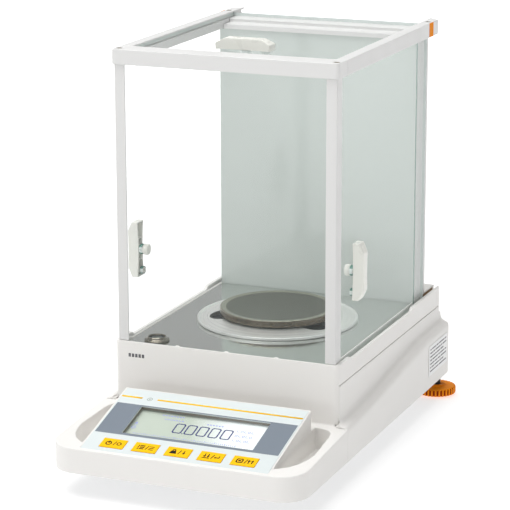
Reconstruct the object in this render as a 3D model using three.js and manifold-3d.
// Analytical balance with a glass draught shield: 0.1 mg class, 98 mm pan, tilted front control panel.
// Millimetres, +Z up, front towards -Y. The design coordinates below have x = 0 on the centre plane,
// y = 0 at the front face of the control housing and z = 0 at the underside of the housings. The
// exported group stands on z = 0 and is centred on the overall footprint.
import * as THREE from "three";
import { mergeVertices } from "three/addons/utils/BufferGeometryUtils.js";
import Module from "manifold-3d";

const wasm = await Module();
wasm.setup();

// ---- driving dimensions -----------------------------------------------------------------------
const GAP = 0.3; // clearance between touching pieces
const WALL = 2.5; // moulded wall thickness

const BASE_HALF = 107.5; // half width of the lower housings
const BODY_LENGTH = 371;
const CHASSIS_HALF = 98; // half width of the upper chassis
const SPLIT_Y = 105; // joint between front and rear housing
const FRONT_CORNER_R = 22;
const REAR_CORNER_R = 7;
const DECK_FRONT_Z = 21;
const DECK_REAR_Z = 28.3;

const CHAMBER_Y = 108; // front face of the chamber wall
const SEAM_Z = 61; // joint between rear housing and upper chassis
const WALL_TOP_Z = 78.7;
const NOTCH_Z = 75.9; // lowered stretch of the side walls, beside the door glass
const NOTCH_Y = [138, 289];
const FLOOR_Z = 76.7; // top of the steel floor plate
const FLOOR_THICK = 2;
const FLOOR_HALF = 89.7;

const GLASS = 2.8;
const DOOR_X = 91.6; // inner face of the side door glass
const DOOR_Y = [121.5, 329.3];
const DOOR_Z = [71, 312.5];
const CHANNEL_CLEAR = 0.4;
const FRONT_GLASS_Y = 110.3;
const REAR_GLASS_Y = 312.5;

const FRAME_TOP_Z = 320.4;
const RAIL_Z = 308; // underside of the top rails
const RAIL_X = [87, 97];
const FRONT_RAIL_Y = [107, 127];
const REAR_RAIL_Y = [324, 350];
const REAR_RAIL_TOP_Z = 315.2;
const SIDE_RAIL_END_Y = [360, 352]; // at the inner and the outer side
const TOP_GLASS_Z = 315.6;
const TOP_GLASS_Y = [124.5, 338];

const FRONT_POST = { x: [86, 95], y: [109, 121], flange: 1, web: 2.6 }; // an angle section
const REAR_POST = { x: [86.5, 91], y: [316.3, 344] };

const PAN_Y = 222.6;
const PAN_R = 49.3;
const PAN_TOP_Z = 88.4;
const RING_R = 68.5;
const LOBE = { r: 14, reach: 44, angle: THREE.MathUtils.degToRad(25) }; // finger cut-outs beside the pan

const PANEL = { y: 4.66, z: 20.64, tilt: THREE.MathUtils.degToRad(15.15) };
const OVERLAY = { half: 79.5, length: 89.7, thick: 0.8 };
const WEDGE_HALF = 81;
const WEDGE_REAR_Y = 92.8;
const DISPLAY = { half: 56.1, from: 27.8, to: 67 };
const KEY = { count: 5, pitch: 27.9, width: 20.4, from: 5.5, to: 17.6, proud: 0.4, travel: 0.8 };

const FOOT_HEIGHT = 20; // floor to the underside of the housings
const WHEEL = { x: 97.5, y: 362.5, r: 17.6, ribs: 32, z: [-18.8, -12] };
const FRONT_FOOT = { x: 62, y: 120, r: 10 };
const OVERALL_DEPTH = WHEEL.y + WHEEL.r;

const GRIP = { length: 47, width: 12.4, waist: 8.6, depth: 9.3, wall: 1.5, rib: 1.2 };
const GRIP_CUT = { along: 8, deep: 4, crown: 1.4 }; // chamfer at each end, and along the long edges
const PIN_OFFSET = 18; // from the knob's hole to the locating pin's hole
const DOOR_GRIP = { y: 152.4, z: 145.7 };
const TOP_GRIP_Y = 153.2;
const KNOB = { r: 4.7, length: 4.4, hole: 4.4, shank: 2.4 };
const PIN = { r: 2.7, hole: 3.2 };

// ---- shape helpers ----------------------------------------------------------------------------
function solid(geometry) {
  const bare = new THREE.BufferGeometry();
  const flat = geometry.index ? geometry.toNonIndexed() : geometry;
  bare.setAttribute("position", flat.getAttribute("position"));
  const merged = mergeVertices(bare, 1e-4);
  return new wasm.Manifold(
    new wasm.Mesh({
      numProp: 3,
      vertProperties: merged.attributes.position.array,
      triVerts: new Uint32Array(merged.index.array),
    }),
  );
}

function box(x, y, z) {
  const geometry = new THREE.BoxGeometry(x[1] - x[0], y[1] - y[0], z[1] - z[0]);
  return solid(geometry.translate((x[0] + x[1]) / 2, (y[0] + y[1]) / 2, (z[0] + z[1]) / 2));
}

// A box on one side of the centre plane: side is -1 for the left and 1 for the right.
function sideBox(side, x, y, z) {
  return box(side > 0 ? x : [-x[1], -x[0]], y, z);
}

function outline(points) {
  return new THREE.Shape(points.map(([u, v]) => new THREE.Vector2(u, v)));
}

function extrude(shape, depth, options = {}) {
  return new THREE.ExtrudeGeometry(shape, { depth, bevelEnabled: false, curveSegments: 8, ...options });
}

// A plan outline in x and y, raised from z0 to z1.
function prismZ(shape, z0, z1, options) {
  return solid(extrude(shape, z1 - z0, options).translate(0, 0, z0));
}

// A side profile in y and z, drawn out from x0 to x1.
function prismX(points, x0, x1) {
  const geometry = extrude(outline(points), x1 - x0);
  const turn = new THREE.Matrix4().makeBasis(
    new THREE.Vector3(0, 1, 0),
    new THREE.Vector3(0, 0, 1),
    new THREE.Vector3(1, 0, 0),
  );
  return solid(geometry.applyMatrix4(turn).translate(x0, 0, 0));
}

// A front profile in x and z, drawn out from y0 to y1.
function prismY(points, y0, y1) {
  const geometry = extrude(outline(points), y1 - y0);
  return solid(geometry.rotateX(Math.PI / 2).translate(0, y1, 0));
}

// A plan rectangle with its own radius at the front pair and the rear pair of corners.
function roundedPlan(x, y, frontR, rearR) {
  const shape = new THREE.Shape();
  shape.moveTo(x[0] + frontR, y[0]);
  shape.lineTo(x[1] - frontR, y[0]);
  if (frontR) shape.absarc(x[1] - frontR, y[0] + frontR, frontR, -Math.PI / 2, 0, false);
  shape.lineTo(x[1], y[1] - rearR);
  if (rearR) shape.absarc(x[1] - rearR, y[1] - rearR, rearR, 0, Math.PI / 2, false);
  shape.lineTo(x[0] + rearR, y[1]);
  if (rearR) shape.absarc(x[0] + rearR, y[1] - rearR, rearR, Math.PI / 2, Math.PI, false);
  shape.lineTo(x[0], y[0] + frontR);
  if (frontR) shape.absarc(x[0] + frontR, y[0] + frontR, frontR, Math.PI, 1.5 * Math.PI, false);
  return shape;
}

function cylinderZ(x, y, r, z0, z1, segments = 32) {
  const geometry = new THREE.CylinderGeometry(r, r, z1 - z0, segments).rotateX(Math.PI / 2);
  return solid(geometry.translate(x, y, (z0 + z1) / 2));
}

function cylinderX(y, z, r, x0, x1, segments = 24) {
  const geometry = new THREE.CylinderGeometry(r, r, x1 - x0, segments).rotateZ(Math.PI / 2);
  return solid(geometry.translate((x0 + x1) / 2, y, z));
}

// A turned piece about the vertical line through (x, y). The profile holds [radius, z] points,
// anticlockwise in that plane, and starts and ends on the axis or closes on itself.
function turned(x, y, profile, segments = 48) {
  const points = profile.map(([r, z]) => new THREE.Vector2(r, z));
  const geometry = new THREE.LatheGeometry(points, segments).rotateX(Math.PI / 2);
  return solid(geometry.translate(x, y, 0));
}

function ringProfile(r0, r1, z0, z1) {
  return [[r0, z0], [r1, z0], [r1, z1], [r0, z1], [r0, z0]];
}

// ---- assembly ---------------------------------------------------------------------------------
const design = new THREE.Group();
design.position.set(0, -OVERALL_DEPTH / 2, FOOT_HEIGHT);

const FINISH = {
  shell: { color: 0xeceae4, roughness: 0.45, metalness: 0 },
  frame: { color: 0xefeeea, roughness: 0.4, metalness: 0 },
  overlay: { color: 0xdce8e8, roughness: 0.35, metalness: 0 },
  key: { color: 0xf9bd07, roughness: 0.4, metalness: 0 },
  lcd: { color: 0xc9d6cc, roughness: 0.2, metalness: 0 },
  glass: { color: 0xcfe4de, roughness: 0.05, metalness: 0, transparent: true, opacity: 0.35 },
  steel: { color: 0x9fa5a2, roughness: 0.25, metalness: 1 },
  chrome: { color: 0xd0d2d4, roughness: 0.1, metalness: 1 },
  aluminium: { color: 0xb5b8ba, roughness: 0.4, metalness: 1 },
  board: { color: 0x2c6e44, roughness: 0.5, metalness: 0 },
  black: { color: 0x1d1d1f, roughness: 0.5, metalness: 0 },
  orange: { color: 0xe2820f, roughness: 0.45, metalness: 0 },
  grip: { color: 0xe9e8e0, roughness: 0.4, metalness: 0 },
  copper: { color: 0xb87333, roughness: 0.4, metalness: 1 },
  paper: { color: 0xf4f4f6, roughness: 0.6, metalness: 0 },
};

function add(name, manifold, finish) {
  const { vertProperties, triVerts, numProp } = manifold.getMesh();
  const geometry = new THREE.BufferGeometry();
  const positions = new Float32Array((vertProperties.length / numProp) * 3);
  for (let i = 0; i * numProp < vertProperties.length; i++)
    positions.set(vertProperties.subarray(i * numProp, i * numProp + 3), i * 3);
  geometry.setAttribute("position", new THREE.BufferAttribute(positions, 3));
  geometry.setIndex(new THREE.BufferAttribute(new Uint32Array(triVerts), 1));
  geometry.computeVertexNormals();
  const mesh = new THREE.Mesh(geometry, new THREE.MeshStandardMaterial(FINISH[finish]));
  mesh.name = name;
  design.add(mesh);
}

const SIDES = [
  ["left", -1],
  ["right", 1],
];

// Height of the sloping deck of the front housing at y.
function deckZ(y) {
  return DECK_FRONT_Z + ((DECK_REAR_Z - DECK_FRONT_Z) * y) / CHAMBER_Y;
}

// A point of the control panel: v runs up the slope and n out of it. Returns [y, z].
function onPanel(v, n) {
  const { y, z, tilt } = PANEL;
  return [
    y + v * Math.cos(tilt) - n * Math.sin(tilt),
    z + v * Math.sin(tilt) + n * Math.cos(tilt),
  ];
}

// A block lying in the control panel: x across, v up the slope, n out of the face.
function panelBox(x, v, n) {
  const corners = [onPanel(v[0], n[0]), onPanel(v[1], n[0]), onPanel(v[1], n[1]), onPanel(v[0], n[1])];
  return prismX(corners, x[0], x[1]);
}

const keyCentre = (i) => (i - (KEY.count - 1) / 2) * KEY.pitch;

// ---- front housing with the tilted control panel ----------------------------------------------
// The finger pocket beside the wedge: straight along the wedge, bowed on the outside.
function pocketPlan(side, grow) {
  const inner = WEDGE_HALF + 0.3 - grow;
  const shape = new THREE.Shape();
  shape.moveTo(side * inner, 14 - grow);
  shape.quadraticCurveTo(side * (99 + grow), 24, side * (100.5 + grow), 50);
  shape.lineTo(side * (98.5 + grow), 86);
  shape.quadraticCurveTo(side * (97.5 + grow), 101 + grow, side * (84 - grow), 101.5 + grow);
  shape.lineTo(side * inner, 101.5 + grow);
  return shape;
}

function frontShellSkin(inset) {
  const top = -inset;
  const plan = roundedPlan(
    [-BASE_HALF + inset, BASE_HALF - inset],
    [inset, SPLIT_Y - GAP / 2 + (inset ? 5 : 0)],
    FRONT_CORNER_R - inset,
    0,
  );
  // the deck runs on under the chamber's front wall
  const tongue = box([-CHASSIS_HALF - 0.7, CHASSIS_HALF + 0.7], [60, CHAMBER_Y + 1], [inset ? -5 : 0, 40]);
  const tall = prismZ(plan, inset ? -5 : 0, 40).add(tongue);
  const underDeck = prismX(
    [[-5, -6], [115, -6], [115, deckZ(115) + top], [-5, deckZ(-5) + top]],
    -BASE_HALF,
    BASE_HALF,
  );
  const wedge = prismX(
    [
      onPanel(-1.3 + inset, -40),
      onPanel(OVERLAY.length + 30, -40),
      onPanel(OVERLAY.length + 30, -inset),
      onPanel(-1.3 + inset, -inset),
    ],
    -WEDGE_HALF + inset,
    WEDGE_HALF - inset,
  );
  const wedgeZone = box([-BASE_HALF, BASE_HALF], [inset + 1, WEDGE_REAR_Y - inset], [inset ? -6 : 0, 60]);
  return tall.intersect(underDeck).add(wedge.intersect(wedgeZone));
}

let frontHousing = frontShellSkin(0);
let frontHollow = frontShellSkin(WALL);
for (const [, side] of SIDES) {
  frontHousing = frontHousing.subtract(prismZ(pocketPlan(side, 0), 9, 60));
  frontHollow = frontHollow.subtract(prismZ(pocketPlan(side, WALL), 9 - WALL, 60));
}
frontHousing = frontHousing.subtract(frontHollow);
frontHousing = frontHousing.subtract(
  panelBox(
    [-OVERLAY.half - 0.2, OVERLAY.half + 0.2],
    [-0.2, OVERLAY.length + 0.2],
    [-OVERLAY.thick - 0.2, 5],
  ),
);
frontHousing = frontHousing.subtract(
  panelBox([-DISPLAY.half - 1, DISPLAY.half + 1], [DISPLAY.from - 1, DISPLAY.to + 1], [-6, 5]),
);
for (let i = 0; i < KEY.count; i++) {
  const half = KEY.width / 2 + GAP;
  const x = [keyCentre(i) - half, keyCentre(i) + half];
  frontHousing = frontHousing.subtract(panelBox(x, [KEY.from - GAP, KEY.to + GAP], [-8, 5]));
}
add("front_housing", frontHousing, "shell");

let overlay = panelBox([-OVERLAY.half, OVERLAY.half], [0, OVERLAY.length], [-OVERLAY.thick, 0]);
overlay = overlay.subtract(panelBox([-DISPLAY.half, DISPLAY.half], [DISPLAY.from, DISPLAY.to], [-3, 3]));
for (let i = 0; i < KEY.count; i++) {
  const half = KEY.width / 2 + GAP;
  const x = [keyCentre(i) - half, keyCentre(i) + half];
  overlay = overlay.subtract(panelBox(x, [KEY.from - GAP, KEY.to + GAP], [-3, 3]));
}
add("panel_overlay", overlay, "overlay");

for (let i = 0; i < KEY.count; i++) {
  const x = [keyCentre(i) - KEY.width / 2, keyCentre(i) + KEY.width / 2];
  const cap = panelBox(x, [KEY.from, KEY.to], [-3.8, KEY.proud]);
  const flange = panelBox([x[0] - 1.2, x[1] + 1.2], [KEY.from - 0.9, KEY.to + 0.9], [-4.8, -3.6]);
  const middle = (KEY.from + KEY.to) / 2;
  const stem = panelBox([keyCentre(i) - 2, keyCentre(i) + 2], [middle - 2, middle + 2], [-6.2, -4.7]);
  add(`key_${i + 1}`, cap.add(flange).add(stem), "key");
}

let keyBoard = panelBox([-74, 74], [3.5, 21.5], [-10, -8.6]);
for (let i = 0; i < KEY.count; i++) {
  const middle = (KEY.from + KEY.to) / 2;
  const x = [keyCentre(i) - 3, keyCentre(i) + 3];
  keyBoard = keyBoard.add(panelBox(x, [middle - 3, middle + 3], [-8.7, -7.3]));
}
add("key_board", keyBoard, "board");

add("display_window", panelBox([-60, 60], [24.5, 70], [-4, -3]), "glass");
add("lcd_module", panelBox([-62, 62], [23.5, 72], [-9, -4.3]), "lcd");

// ---- rear housing -----------------------------------------------------------------------------
// Height of the shoulder: level at the rear, sweeping down to the front deck in an S.
const SHOULDER = { low: 29.6, high: 46.8, from: 100, to: 340 };
function shoulderZ(y) {
  const rise = THREE.MathUtils.smoothstep(y, SHOULDER.from, SHOULDER.to);
  return SHOULDER.low + (SHOULDER.high - SHOULDER.low) * rise;
}

// Half cross-section of the rear housing at y: skirt, rounded shoulder, upper wall.
function shoulderSection(y, inset) {
  const h = shoulderZ(y);
  const skirt = BASE_HALF - inset;
  const upper = CHASSIS_HALF - inset;
  return [
    [skirt, inset ? -5 : 0],
    [skirt, h - 5 - inset],
    [skirt - 0.5, h - 2.8 - inset],
    [skirt - 1.5, h - 1.3 - inset],
    [skirt - 3.2, h - 0.5 - inset],
    [upper + 3.6, h + 0.1 - inset],
    [upper + 1.7, h + 0.9 - inset],
    [upper + 0.5, h + 2.7 - inset],
    [upper, h + 5.5 - inset],
    [upper, SEAM_Z + (inset ? 5 : 0)],
  ];
}

function loft(stations) {
  const count = stations[0].length;
  const position = [];
  const index = [];
  for (const ring of stations) for (const p of ring) position.push(...p);
  for (let s = 0; s + 1 < stations.length; s++)
    for (let i = 0; i < count; i++) {
      const a = s * count + i;
      const b = s * count + ((i + 1) % count);
      index.push(a, b, b + count, a, b + count, a + count);
    }
  const ends = [0, stations.length - 1];
  for (const end of ends) {
    const flat = stations[end].map(([x, , z]) => new THREE.Vector2(x, z));
    for (const [a, b, c] of THREE.ShapeUtils.triangulateShape(flat, [])) {
      const offset = end * count;
      if (end === 0) index.push(offset + c, offset + b, offset + a);
      else index.push(offset + a, offset + b, offset + c);
    }
  }
  const geometry = new THREE.BufferGeometry();
  geometry.setAttribute("position", new THREE.Float32BufferAttribute(position, 3));
  geometry.setIndex(index);
  return solid(geometry);
}

function rearSkin(inset) {
  const y0 = SPLIT_Y + GAP / 2 - (inset ? 10 : 0);
  const y1 = BODY_LENGTH - inset;
  const steps = 24;
  const stations = [];
  for (let s = 0; s <= steps; s++) {
    const y = y1 + ((y0 - y1) * s) / steps;
    const half = shoulderSection(y, inset);
    const ring = [...half.map(([x, z]) => [x, y, z]), ...half.reverse().map(([x, z]) => [-x, y, z])];
    stations.push(ring);
  }
  const skirtPlan = roundedPlan([-BASE_HALF + inset, BASE_HALF - inset], [y0, y1], 0, REAR_CORNER_R - inset);
  const upperHalf = CHASSIS_HALF - inset;
  const upperPlan = roundedPlan([-upperHalf, upperHalf], [y0, y1], 0, REAR_CORNER_R - inset);
  return loft(stations)
    .intersect(prismZ(skirtPlan, -10, 100))
    .subtract(box([-200, 200], [y1 - 40, y1 + 10], [55, 100]).subtract(prismZ(upperPlan, -10, 110)));
}

const INLET = { x: [-72, -44], z: [13, 33] };
const DATA_PORT = { x: [18, 49], z: [17, 29] };
let rearHousing = rearSkin(0).subtract(rearSkin(WALL));
// the chamber's front wall closes this housing's front end above the deck
rearHousing = rearHousing.subtract(box([-99, 99], [90, CHAMBER_Y + 3 + GAP], [26, 80]));
rearHousing = rearHousing.subtract(box([-99, 99], [90, SPLIT_Y + 6], [-5, 27]));
for (const port of [INLET, DATA_PORT])
  rearHousing = rearHousing.subtract(box(port.x, [BODY_LENGTH - 10, BODY_LENGTH + 10], port.z));
add("rear_housing", rearHousing, "shell");

function rearPort(name, port, depth, finish, details) {
  const wallOuter = BODY_LENGTH;
  const body = box(
    [port.x[0] + GAP, port.x[1] - GAP],
    [wallOuter - depth, wallOuter + GAP + 0.2],
    [port.z[0] + GAP, port.z[1] - GAP],
  );
  const flange = box(
    [port.x[0] - 5, port.x[1] + 5],
    [wallOuter + GAP, wallOuter + 2],
    [port.z[0] - 2.5, port.z[1] + 2.5],
  );
  add(name, details(body.add(flange)), finish);
}

rearPort("power_inlet", INLET, 22, "black", (block) => {
  const cx = (INLET.x[0] + INLET.x[1]) / 2;
  const cz = (INLET.z[0] + INLET.z[1]) / 2;
  const y = [BODY_LENGTH - 14, BODY_LENGTH + 5];
  let inlet = block.subtract(box([cx - 12, cx + 12], y, [cz - 8, cz + 8]));
  for (const [dx, dz] of [[-7, -2], [0, 3], [7, -2]])
    inlet = inlet.add(
      box([cx + dx - 1, cx + dx + 1], [BODY_LENGTH - 15, BODY_LENGTH - 5], [cz + dz - 2, cz + dz + 2]),
    );
  return inlet;
});
rearPort("data_port", DATA_PORT, 12, "aluminium", (block) => {
  const cx = (DATA_PORT.x[0] + DATA_PORT.x[1]) / 2;
  const cz = (DATA_PORT.z[0] + DATA_PORT.z[1]) / 2;
  const socket = prismY(
    [[cx - 7, cz - 4], [cx + 7, cz - 4], [cx + 8.4, cz + 4], [cx - 8.4, cz + 4]],
    BODY_LENGTH - 4,
    BODY_LENGTH + 5,
  );
  return block.subtract(socket);
});

// ---- base plate and feet ----------------------------------------------------------------------
const BASE_TOP_Z = 5.2;
const BASE_EDGE = WALL + GAP;
let basePlate = prismZ(
  roundedPlan(
    [-BASE_HALF + BASE_EDGE + 0.6, BASE_HALF - BASE_EDGE - 0.6],
    [BASE_EDGE + 0.6, BODY_LENGTH - BASE_EDGE - 0.6],
    FRONT_CORNER_R - BASE_EDGE,
    REAR_CORNER_R - BASE_EDGE,
  ),
  1.2,
  BASE_TOP_Z,
);
for (const [, side] of SIDES) {
  const x = side * WHEEL.x;
  basePlate = basePlate.add(cylinderZ(x, WHEEL.y - 1, 6.8, BASE_TOP_Z - 1, 16, 20));
  basePlate = basePlate.subtract(cylinderZ(x, WHEEL.y, 4 + GAP, -5, 30, 20));
}
add("base_plate", basePlate, "aluminium");

function knurledPlan(cx, cy, r, ribs) {
  const shape = new THREE.Shape();
  for (let i = 0; i < ribs; i++) {
    const step = (2 * Math.PI) / ribs;
    for (const [turn, radius] of [[0.12, r - 1.1], [0.32, r], [0.68, r], [0.88, r - 1.1]]) {
      const a = (i + turn) * step;
      const x = cx + radius * Math.cos(a);
      const y = cy + radius * Math.sin(a);
      if (i === 0 && turn === 0.12) shape.moveTo(x, y);
      else shape.lineTo(x, y);
    }
  }
  return shape;
}

for (const [name, side] of SIDES) {
  const x = side * WHEEL.x;
  const disc = prismZ(knurledPlan(x, WHEEL.y, WHEEL.r, WHEEL.ribs), WHEEL.z[0], WHEEL.z[1]);
  const pad = turned(x, WHEEL.y, [[0, -FOOT_HEIGHT], [8, -FOOT_HEIGHT], [9, -18], [0, -18]], 32);
  const hub = cylinderZ(x, WHEEL.y, 7.5, WHEEL.z[1] - 1, WHEEL.z[1] + 1.5, 24);
  const bore = cylinderZ(x, WHEEL.y, 4 + GAP, -17, 0, 20);
  add(`${name}_level_wheel`, disc.add(pad).add(hub).subtract(bore), "orange");
  add(`${name}_level_stud`, cylinderZ(x, WHEEL.y, 4, -16.7, 14, 20), "black");
  add(
    `${name}_front_foot`,
    turned(
      side * FRONT_FOOT.x,
      FRONT_FOOT.y,
      [
        [0, -FOOT_HEIGHT],
        [FRONT_FOOT.r - 1.5, -FOOT_HEIGHT],
        [FRONT_FOOT.r - 0.5, -FOOT_HEIGHT + 1],
        [FRONT_FOOT.r, 0.9],
        [0, 0.9],
      ],
      28,
    ),
    "black",
  );
}

// ---- upper chassis ----------------------------------------------------------------------------
const CHANNEL_X = [DOOR_X - CHANNEL_CLEAR, DOOR_X + GLASS + CHANNEL_CLEAR];
const TRAY_TOP_Z = FLOOR_Z - FLOOR_THICK - GAP;
const TRAY_THICK = 3;
const REAR_BLOCK_Y = REAR_GLASS_Y + GLASS + GAP;
let chassis = prismZ(
  roundedPlan([-CHASSIS_HALF, CHASSIS_HALF], [CHAMBER_Y, BODY_LENGTH], 4, REAR_CORNER_R),
  SEAM_Z + GAP,
  WALL_TOP_Z,
);
chassis = chassis.subtract(
  box([-90, 90], [CHAMBER_Y + 3, BODY_LENGTH - 3], [SEAM_Z - 5, TRAY_TOP_Z - TRAY_THICK]),
);
const frontWall = prismZ(
  roundedPlan([-CHASSIS_HALF, CHASSIS_HALF], [CHAMBER_Y, CHAMBER_Y + 30], 4, 0),
  DECK_REAR_Z + GAP,
  SEAM_Z + 2,
).intersect(box([-200, 200], [100, CHAMBER_Y + 3], [0, 200]));
chassis = chassis.add(frontWall);
// recess for the steel floor plate and the two fixed glasses
chassis = chassis.subtract(
  box(
    [-FLOOR_HALF - GAP, FLOOR_HALF + GAP],
    [FRONT_GLASS_Y + GLASS + 0.2, REAR_GLASS_Y - 0.3],
    [TRAY_TOP_Z, 90],
  ),
);
chassis = chassis.subtract(box([-88.3, 88.3], [FRONT_GLASS_Y - GAP, FRONT_GLASS_Y + GLASS + 1], [75.2, 90]));
chassis = chassis.subtract(
  box([-DOOR_X - 1, DOOR_X + 1], [REAR_GLASS_Y - 0.4, REAR_GLASS_Y + GLASS + GAP], [74.5, 90]),
);
chassis = chassis.subtract(cylinderZ(0, PAN_Y, 16, 50, 90, 32));
for (const [, side] of SIDES) {
  chassis = chassis.subtract(
    sideBox(side, CHANNEL_X, [DOOR_Y[0] - GAP, BODY_LENGTH + 5], [DOOR_Z[0] - 0.5, 90]),
  );
  const notch = prismX(
    [
      [NOTCH_Y[0], NOTCH_Z],
      [NOTCH_Y[1], NOTCH_Z],
      [NOTCH_Y[1] + 4, WALL_TOP_Z + 1],
      [NOTCH_Y[0] - 4, WALL_TOP_Z + 1],
    ],
    side > 0 ? CHANNEL_X[1] - 0.5 : -CHASSIS_HALF - 1,
    side > 0 ? CHASSIS_HALF + 1 : -CHANNEL_X[1] + 0.5,
  );
  chassis = chassis.subtract(notch);
  // low rail between the floor plate and the door glass
  chassis = chassis.subtract(
    sideBox(side, [FLOOR_HALF, CHANNEL_X[0] + 0.2], [DOOR_Y[0] + 2, REAR_GLASS_Y - 0.3], [77.6, 90]),
  );
}
// small clips along the front wall, against the foot of the front glass
const CLIP_X = [-42.3, 1, 44.3];
for (const x of CLIP_X) {
  const y = [CHAMBER_Y + 0.8, FRONT_GLASS_Y - 0.2];
  chassis = chassis.add(box([x - 1.5, x + 1.5], y, [WALL_TOP_Z - 1, WALL_TOP_Z + 1]));
}
add("upper_chassis", chassis, "shell");

add(
  "floor_plate",
  box(
    [-FLOOR_HALF, FLOOR_HALF],
    [FRONT_GLASS_Y + GLASS + 0.5, REAR_GLASS_Y - 0.6],
    [FLOOR_Z - FLOOR_THICK, FLOOR_Z],
  ).subtract(cylinderZ(0, PAN_Y, 15, 50, 90, 32)),
  "steel",
);

// ---- weighing pan, draught ring, level ---------------------------------------------------------
const RING_Z = FLOOR_Z + GAP;
let ring = turned(
  0,
  PAN_Y,
  [
    [38, RING_Z],
    [RING_R, RING_Z],
    [RING_R, RING_Z + 2.1],
    [RING_R - 0.8, RING_Z + 2.6],
    [RING_R - 1.8, RING_Z + 2.4],
    [RING_R - 3, RING_Z + 1.6],
    [38, RING_Z + 1.6],
    [38, RING_Z],
  ],
  72,
);
for (const [, side] of SIDES) {
  const x = side * LOBE.reach * Math.cos(LOBE.angle);
  const y = PAN_Y - LOBE.reach * Math.sin(LOBE.angle);
  ring = ring.subtract(cylinderZ(x, y, LOBE.r, 70, 90, 28));
}
add("draft_ring", ring, "steel");

const PAN_SKIN = 0.9;
const panProfile = [
  [0, 80.5],
  [7, 80.5],
  [7, PAN_TOP_Z - 0.6 - PAN_SKIN],
  [PAN_R - 6, PAN_TOP_Z - 0.6 - PAN_SKIN],
  [PAN_R - 2, PAN_TOP_Z - PAN_SKIN - 0.2],
  [PAN_R - PAN_SKIN, PAN_TOP_Z - 1.6],
  [PAN_R - PAN_SKIN, PAN_TOP_Z - 5.6],
  [PAN_R, PAN_TOP_Z - 5.6],
  [PAN_R, PAN_TOP_Z - 0.9],
  [PAN_R - 0.9, PAN_TOP_Z],
  [PAN_R - 2, PAN_TOP_Z],
  [PAN_R - 6, PAN_TOP_Z - 0.6],
  [0, PAN_TOP_Z - 0.6],
];
const pan = turned(0, PAN_Y, panProfile, 72).subtract(cylinderZ(0, PAN_Y, 3 + GAP, 70, 85.7, 24));
add("weighing_pan", pan, "steel");

add(
  "pan_carrier",
  turned(
    0,
    PAN_Y,
    [[0, 57.5], [5, 57.5], [5, 74], [12, 77.5], [12, 79.3], [3, 80], [3, 84.6], [2, 85.3], [0, 85.3]],
    28,
  ),
  "chrome",
);

const LEVEL = { x: -68, y: 125 };
add(
  "level_bezel",
  turned(
    LEVEL.x,
    LEVEL.y,
    [
      [6.6, RING_Z],
      [10.4, RING_Z],
      [10.4, RING_Z + 3],
      [9.4, RING_Z + 4.4],
      [7.4, RING_Z + 4.4],
      [6.6, RING_Z + 3.8],
      [6.6, RING_Z],
    ],
    40,
  ),
  "chrome",
);
add(
  "level_vial",
  turned(
    LEVEL.x,
    LEVEL.y,
    [[0, RING_Z], [6.2, RING_Z], [6.2, RING_Z + 3.4], [3, RING_Z + 4], [0, RING_Z + 4.1]],
    32,
  ),
  "glass",
);

// ---- force cell and electronics ----------------------------------------------------------------
const INSIDE_Z = BASE_TOP_Z + GAP;
let cellBody = box([-26, 26], [186, 262], [INSIDE_Z, 50]);
cellBody = cellBody.subtract(box([-30, 30], [198, 250], [14, 20]));
cellBody = cellBody.subtract(box([-30, 30], [198, 250], [36, 42]));
cellBody = cellBody.subtract(box([-12, 12], [180, 270], [20.5, 35.5]));
add("cell_body", cellBody, "aluminium");

const COIL_Y = 312;
let lever = box([-6, 6], [208, COIL_Y], [51.5, 56]);
lever = lever.add(cylinderZ(0, PAN_Y, 9, 51.5, 57.2, 24));
lever = lever.add(turned(0, COIL_Y, [[0, 50], [12, 50], [12, 56], [0, 56]], 32));
lever = lever.add(turned(0, COIL_Y, ringProfile(9, 12, 34, 51), 32));
add("cell_lever", lever, "aluminium");
add(
  "cell_magnet",
  cylinderZ(0, COIL_Y, 24, INSIDE_Z, 44, 40).subtract(turned(0, COIL_Y, ringProfile(8, 13, 20, 50), 32)),
  "steel",
);

let mainBoard = box([-92, -38], [150, 320], [12, 13.6]);
const CHIPS = [
  [-84, -66, 162, 180, 2.4],
  [-60, -46, 170, 196, 3],
  [-82, -58, 206, 230, 2.2],
  [-54, -44, 222, 262, 6],
  [-86, -70, 246, 262, 9],
  [-80, -62, 280, 304, 12],
];
for (const [x0, x1, y0, y1, tall] of CHIPS)
  mainBoard = mainBoard.add(box([x0, x1], [y0, y1], [13, 13.6 + tall]));
for (const x of [-89, -41])
  for (const y of [154, 316]) mainBoard = mainBoard.add(cylinderZ(x, y, 2.6, INSIDE_Z, 12.5, 16));
add("main_board", mainBoard, "board");

let transformer = box([44, 88], [262, 318], [INSIDE_Z, 44]);
transformer = transformer.subtract(box([52, 80], [250, 330], [12, 37.5]));
transformer = transformer.add(box([53, 79], [256, 324], [11, 38]));
add("transformer", transformer, "copper");

// ---- draught shield frame ----------------------------------------------------------------------
const POST_BOTTOM_Z = WALL_TOP_Z + GAP;
const POST_TOP_Z = RAIL_Z - GAP;
for (const [name, side] of SIDES) {
  const z = [POST_BOTTOM_Z, POST_TOP_Z];
  const flange = sideBox(side, FRONT_POST.x, [FRONT_POST.y[0], FRONT_POST.y[0] + FRONT_POST.flange], z);
  const web = sideBox(side, [FRONT_POST.x[1] - FRONT_POST.web, FRONT_POST.x[1]], FRONT_POST.y, z);
  add(`${name}_front_post`, flange.add(web), "frame");
  add(`${name}_rear_post`, sideBox(side, REAR_POST.x, REAR_POST.y, z), "frame");
}

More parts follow.
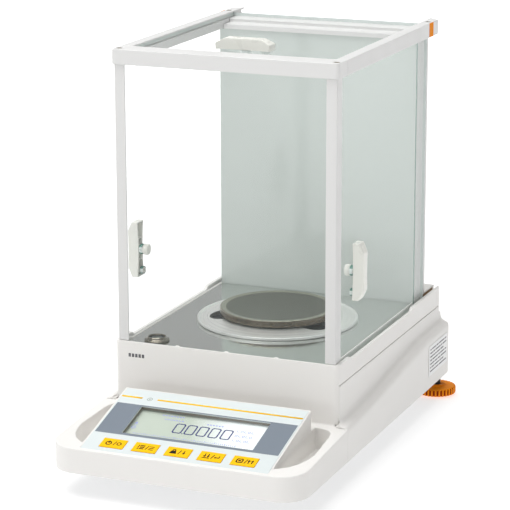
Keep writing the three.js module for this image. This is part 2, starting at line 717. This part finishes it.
const TOP_GROOVE_Z = [TOP_GLASS_Z - GAP, TOP_GLASS_Z + GLASS + GAP];
const TOP_GLASS_HALF = 89;
let frontRail = prismZ(
  roundedPlan([-RAIL_X[1], RAIL_X[1]], [FRONT_RAIL_Y[0], FRONT_RAIL_Y[1] - GAP], 3, 0),
  RAIL_Z,
  FRAME_TOP_Z,
);
frontRail = frontRail.subtract(
  box([-88.3, 88.3], [FRONT_GLASS_Y - GAP, FRONT_GLASS_Y + GLASS + GAP], [RAIL_Z - 1, 311.4]),
);
frontRail = frontRail.subtract(
  box([-TOP_GLASS_HALF - GAP, TOP_GLASS_HALF + GAP], [TOP_GLASS_Y[0] - GAP, 140], TOP_GROOVE_Z),
);
for (const [, side] of SIDES)
  frontRail = frontRail.subtract(
    sideBox(side, CHANNEL_X, [DOOR_Y[0] - GAP, 140], [RAIL_Z - 1, DOOR_Z[1] + 0.8]),
  );
const SCREW = { r: 2.6, x: 92.5, frontY: 114.5, rearY: 337 };
for (const [, side] of SIDES)
  frontRail = frontRail.subtract(
    cylinderZ(side * SCREW.x, SCREW.frontY, SCREW.r + GAP, FRAME_TOP_Z - 2.4, 330, 20),
  );
add("front_rail", frontRail, "frame");

for (const [name, side] of SIDES) {
  const plan = outline(
    [
      [RAIL_X[0], FRONT_RAIL_Y[1]],
      [RAIL_X[1], FRONT_RAIL_Y[1]],
      [RAIL_X[1], SIDE_RAIL_END_Y[1]],
      [RAIL_X[0], SIDE_RAIL_END_Y[0]],
    ].map(([x, y]) => [side * x, y]),
  );
  let rail = prismZ(plan, RAIL_Z, FRAME_TOP_Z);
  rail = rail.subtract(sideBox(side, CHANNEL_X, [100, 400], [RAIL_Z - 1, DOOR_Z[1] + 0.8]));
  rail = rail.subtract(sideBox(side, [80, TOP_GLASS_HALF + GAP], [100, 400], TOP_GROOVE_Z));
  rail = rail.subtract(
    cylinderZ(side * SCREW.x, SCREW.rearY, SCREW.r + GAP, FRAME_TOP_Z - 2.4, 330, 20),
  );
  rail = rail.subtract(sideBox(side, [RAIL_X[1] - 0.5, 120], [327.7, 338.3], [300, 330]));
  add(`${name}_rail`, rail, "frame");
  add(
    `${name}_rail_mark`,
    sideBox(side, [RAIL_X[1] - 0.2, RAIL_X[1] + 0.2], [328, 338], [RAIL_Z + 0.2, FRAME_TOP_Z - 0.2]),
    "orange",
  );
}

let rearRail = prismX(
  [
    [REAR_GLASS_Y - 2, RAIL_Z],
    [REAR_RAIL_Y[1], RAIL_Z],
    [REAR_RAIL_Y[1], REAR_RAIL_TOP_Z],
    [REAR_RAIL_Y[0], REAR_RAIL_TOP_Z],
    [REAR_RAIL_Y[0], RAIL_Z + 4],
    [REAR_GLASS_Y - 2, RAIL_Z + 4],
  ],
  -RAIL_X[0] + GAP,
  RAIL_X[0] - GAP,
);
rearRail = rearRail.subtract(
  box([-95, 95], [REAR_GLASS_Y - GAP, REAR_GLASS_Y + GLASS + GAP], [RAIL_Z - 1, RAIL_Z + 2.6]),
);
add("rear_rail", rearRail, "frame");

const SCREW_PLACES = [
  ["front_left", -1, SCREW.frontY],
  ["front_right", 1, SCREW.frontY],
  ["rear_left", -1, SCREW.rearY],
  ["rear_right", 1, SCREW.rearY],
];
for (const [name, side, y] of SCREW_PLACES) {
  const x = side * SCREW.x;
  let screw = turned(
    x,
    y,
    [
      [0, FRAME_TOP_Z - 2.1],
      [SCREW.r, FRAME_TOP_Z - 2.1],
      [SCREW.r, FRAME_TOP_Z - 0.6],
      [1.6, FRAME_TOP_Z - 0.1],
      [0, FRAME_TOP_Z - 0.1],
    ],
    20,
  );
  screw = screw.subtract(box([x - 2, x + 2], [y - 0.35, y + 0.35], [FRAME_TOP_Z - 1, 330]));
  screw = screw.subtract(box([x - 0.35, x + 0.35], [y - 2, y + 2], [FRAME_TOP_Z - 1, 330]));
  add(`${name}_screw`, screw, "steel");
}

// ---- glass, doors and grips --------------------------------------------------------------------
add("front_glass", box([-88, 88], [FRONT_GLASS_Y, FRONT_GLASS_Y + GLASS], [75.6, 311]), "glass");
add(
  "rear_glass",
  box([-RAIL_X[0] + 0.6, RAIL_X[0] - 0.6], [REAR_GLASS_Y, REAR_GLASS_Y + GLASS], [75, RAIL_Z + 2.2]).add(
    box([-90.8, 90.8], [REAR_GLASS_Y, REAR_GLASS_Y + GLASS], [75, RAIL_Z - GAP]),
  ),
  "glass",
);

// A waisted grip outline: full width at the ends, drawn in along both long sides.
function gripPlan(inset) {
  const end = GRIP.length / 2 - inset;
  const edge = GRIP.width / 2 - inset;
  const bow = GRIP.width - GRIP.waist;
  const shape = new THREE.Shape();
  shape.moveTo(-end, -edge);
  shape.quadraticCurveTo(0, -edge + bow, end, -edge);
  shape.lineTo(end, edge);
  shape.quadraticCurveTo(0, edge - bow, -end, edge);
  return shape;
}

// The grip's body with chamfered ends and long edges, lying on z = 0 with its length along x.
function gripBlock(inset) {
  const end = GRIP.length / 2 - inset;
  const edge = GRIP.width / 2 - inset;
  const top = GRIP.depth - inset;
  const { along, deep, crown } = GRIP_CUT;
  const foot = inset ? -1 : 0;
  const bevelled = (half, drop, cut) => [
    [-half, foot],
    [half, foot],
    [half, top - drop],
    [half - cut, top],
    [cut - half, top],
    [-half, top - drop],
  ];
  return prismZ(gripPlan(inset), foot, top)
    .intersect(prismY(bevelled(end, deep, along), -edge, edge))
    .intersect(prismX(bevelled(edge, crown, crown), -end, end));
}

// A hollow moulded grip, open towards the glass, with two ribs, a boss for the knob's shank and a
// locating pin that reaches through the glass. pinSide says at which end the pin is.
function gripShell(pinSide) {
  const inside = gripBlock(GRIP.wall);
  const depth = GRIP.depth - GRIP.wall;
  let core = cylinderZ(0, 0, KNOB.shank + 1.4, 0.4, depth, 20);
  for (const u of [-9, 9])
    core = core.add(box([u - GRIP.rib / 2, u + GRIP.rib / 2], [-10, 10], [0.8, depth]));
  core = core.subtract(cylinderZ(0, 0, KNOB.shank + GAP, -1, 5.4, 20));
  const pin = cylinderZ(pinSide * PIN_OFFSET, 0, PIN.r, -GLASS - GAP, depth, 20);
  const bore = cylinderZ(pinSide * PIN_OFFSET, 0, PIN.r - 1.4, -GLASS - 1, 2, 16);
  return gripBlock(0).subtract(inside).add(core.intersect(inside)).add(pin).subtract(bore);
}

for (const [name, side] of SIDES) {
  const { y, z } = DOOR_GRIP;
  const outside = side * (DOOR_X + GLASS + GAP);
  const middle = side * (DOOR_X + GLASS / 2);
  let pane = sideBox(side, [DOOR_X, DOOR_X + GLASS], DOOR_Y, DOOR_Z);
  pane = pane.subtract(cylinderX(y, z, KNOB.hole, middle - 5, middle + 5));
  pane = pane.subtract(cylinderX(y, z - PIN_OFFSET, PIN.hole, middle - 5, middle + 5));
  add(`${name}_door_glass`, pane, "glass");

  // built lying down, then stood on end against the outside of the door, pin downwards
  add(`${name}_grip`, gripShell(side).rotate([0, side * 90, 0]).translate([outside, y, z]), "grip");

  const span = (a, b) => [Math.min(a, b), Math.max(a, b)];
  const face = side * (DOOR_X - GAP);
  const tip = face - side * KNOB.length;
  const head = cylinderX(y, z, KNOB.r, ...span(face, tip));
  const shank = cylinderX(y, z, KNOB.shank, ...span(face - side, outside + side * 4.8));
  add(`${name}_knob`, head.add(shank), "grip");
}

const TOP_GRIP_Z = TOP_GLASS_Z + GLASS + GAP;
add(
  "top_glass",
  box([-TOP_GLASS_HALF, TOP_GLASS_HALF], TOP_GLASS_Y, [TOP_GLASS_Z, TOP_GLASS_Z + GLASS])
    .subtract(cylinderZ(0, TOP_GRIP_Y, KNOB.hole, 300, 330, 24))
    .subtract(cylinderZ(PIN_OFFSET, TOP_GRIP_Y, PIN.hole, 300, 330, 24)),
  "glass",
);
add("top_grip", gripShell(1).translate([0, TOP_GRIP_Y, TOP_GRIP_Z]), "grip");
add(
  "top_knob",
  cylinderZ(0, TOP_GRIP_Y, KNOB.r, TOP_GLASS_Z - GAP - KNOB.length, TOP_GLASS_Z - GAP, 24).add(
    cylinderZ(0, TOP_GRIP_Y, KNOB.shank, TOP_GLASS_Z - 2, TOP_GRIP_Z + 4.8, 20),
  ),
  "grip",
);

// ---- blank rating label on the right of the skirt ----------------------------------------------
add("rating_label", box([BASE_HALF + 0.2, BASE_HALF + 0.5], [309, 360], [12, 39]), "paper");

export default design;
